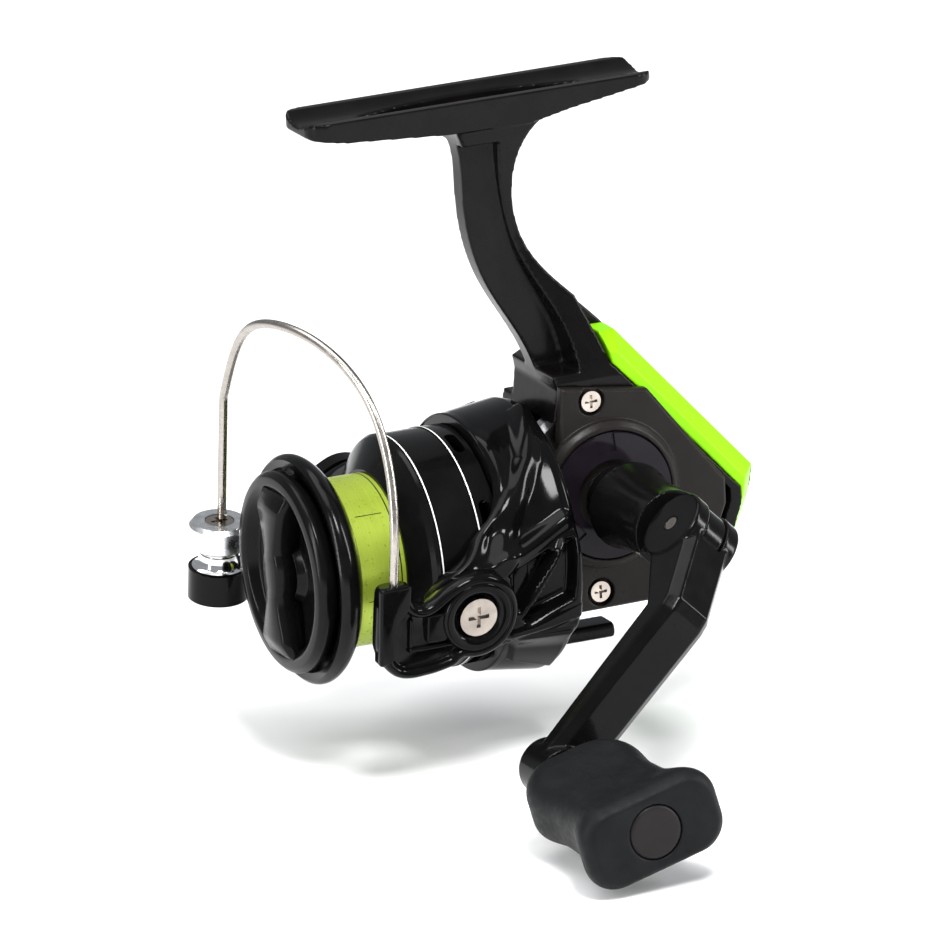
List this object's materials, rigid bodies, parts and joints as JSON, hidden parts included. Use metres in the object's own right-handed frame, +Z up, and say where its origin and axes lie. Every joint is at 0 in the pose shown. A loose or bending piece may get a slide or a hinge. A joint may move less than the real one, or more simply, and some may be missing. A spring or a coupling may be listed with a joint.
{
  "type": "spinning reel",
  "caption": "Small fixed-spool fishing reel with foot, folding crank handle, geared rotor, bail, line roller, spool and front drag knob.",
  "frame": {"origin": "centre of the foot's top seat, midway along the foot, at the height of its two flat lands", "axes": "+Z up out of the foot's seat, -Y towards the spool's front along the spool axis, +X towards the crank handle"},
  "size_m": [0.1214, 0.0879, 0.1054],
  "materials": {
    "body_black": "gloss black moulded plastic",
    "cover_black": "satin gloss black moulded plastic",
    "rotor_black": "high gloss black",
    "spool_black": "high gloss black with grey hoops",
    "drag_black": "gloss black",
    "handle_black": "gloss black painted die casting",
    "lever_black": "gloss black",
    "lime_guard": "satin lime green plastic",
    "dial_trim": "dark grey violet anodised trim",
    "arbor_green": "satin yellow green anodised, turned",
    "knob_grip": "matte soft touch charcoal",
    "knob_cap": "satin charcoal",
    "steel": "ground steel",
    "bearing_steel": "bearing steel",
    "spring_steel": "spring steel wire",
    "screw_nickel": "bright nickel plate",
    "bail_wire": "polished stainless wire",
    "roller_aluminium": "satin turned aluminium",
    "roller_chrome": "hard chrome",
    "gear_brass": "machined brass",
    "gear_zinc": "cast zinc alloy",
    "gear_white": "natural acetal",
    "washer_fibre": "oiled felt and fibre"
  },
  "bodies": {
    "frame": {"reel_body": "body_black", "side_cover": "cover_black", "cover_screws": "screw_nickel", "rear_guard": "lime_guard", "dial_ring": "dial_trim", "cover_bearing": "bearing_steel", "body_bearing": "bearing_steel", "pinion_bearing": "bearing_steel", "guide_rod": "steel", "bore_cap": "cover_black", "oscillation_post": "steel", "pawl_pin": "steel"},
    "crank": {"drive_gear": "gear_zinc", "drive_shaft": "steel", "oscillation_driver": "gear_brass", "handle_hub": "handle_black", "fold_pin": "screw_nickel"},
    "handle_arm": {"handle_arm": "handle_black", "knob_spindle": "steel"},
    "knob": {"handle_knob": "knob_grip", "knob_cap": "knob_cap"},
    "oscillation_gear": {"oscillation_gear": "gear_white"},
    "rotor": {"rotor": "rotor_black", "rotor_arm": "rotor_black", "far_rotor_arm": "rotor_black", "pinion_gear": "gear_brass", "rotor_nut": "gear_brass", "pivot_screws": "screw_nickel", "balance_weight": "gear_zinc", "bail_spring": "spring_steel", "stop_wheel": "steel"},
    "bail": {"bail_lever": "rotor_black", "roller_arm": "rotor_black", "bail_wire": "bail_wire", "roller_cap": "roller_aluminium", "roller_screw": "screw_nickel"},
    "line_roller": {"line_roller": "roller_chrome"},
    "main_shaft": {"main_shaft": "steel", "oscillation_slider": "gear_zinc", "slider_screw": "steel", "spool_seat": "washer_fibre"},
    "spool": {"spool_arbor": "arbor_green", "spool_lip": "spool_black", "spool_skirt": "spool_black", "drag_washers": "washer_fibre", "drag_retainer": "spring_steel"},
    "drag_knob": {"drag_knob": "drag_black", "drag_nut": "gear_brass", "drag_spring": "spring_steel"},
    "stop_lever": {"stop_lever": "lever_black"},
    "stop_pawl": {"stop_pawl": "steel"}
  },
  "joints": [
    {"name": "crank_spin", "type": "hinge", "parent": "frame", "child": "crank", "pos_m": [0, 0.0165, -0.0665], "axis": [1, 0, 0], "continuous": true},
    {"name": "handle_fold", "type": "hinge", "parent": "crank", "child": "handle_arm", "pos_m": [0.042, 0.0165, -0.0665], "axis": [0, -0.7071, 0.7071], "range_deg": [0, 90]},
    {"name": "knob_spin", "type": "hinge", "parent": "handle_arm", "child": "knob", "pos_m": [0.058, -0.01369, -0.09669], "axis": [1, 0, 0], "continuous": true},
    {"name": "rotor_spin", "type": "hinge", "parent": "frame", "child": "rotor", "pos_m": [0, 0, -0.074], "axis": [0, 1, 0], "continuous": true},
    {"name": "oscillation_spin", "type": "hinge", "parent": "frame", "child": "oscillation_gear", "pos_m": [-0.007, 0.0273, -0.0665], "axis": [1, 0, 0], "continuous": true},
    {"name": "bail_flip", "type": "hinge", "parent": "rotor", "child": "bail", "pos_m": [0, -0.0139, -0.074], "axis": [0.9877, 0, -0.1564], "range_deg": [0, 110]},
    {"name": "roller_spin", "type": "hinge", "parent": "bail", "child": "line_roller", "pos_m": [-0.02503, -0.036, -0.07733], "axis": [0.1564, 0, 0.9877], "continuous": true},
    {"name": "spool_stroke", "type": "slide", "parent": "frame", "child": "main_shaft", "axis": [0, -1, 0], "range_m": [0, 0.008]},
    {"name": "spool_drag", "type": "hinge", "parent": "main_shaft", "child": "spool", "pos_m": [0, -0.025, -0.074], "axis": [0, 1, 0], "continuous": true},
    {"name": "drag_adjust", "type": "hinge", "parent": "main_shaft", "child": "drag_knob", "pos_m": [0, -0.035, -0.074], "axis": [0, 1, 0], "range_deg": [-360, 360]},
    {"name": "stop_switch", "type": "hinge", "parent": "frame", "child": "stop_lever", "pos_m": [0, 0.005, -0.0892], "axis": [0, 1, 0], "range_deg": [0, 28]},
    {"name": "pawl_swing", "type": "hinge", "parent": "frame", "child": "stop_pawl", "pos_m": [0.0096, 0, -0.0842], "axis": [0, 1, 0], "range_deg": [0, 12]}
  ],
  "couplings": [
    {"joint": "rotor_spin", "follows": "crank_spin", "ratio": 4.5},
    {"joint": "oscillation_spin", "follows": "crank_spin", "ratio": -0.5}
  ]
}
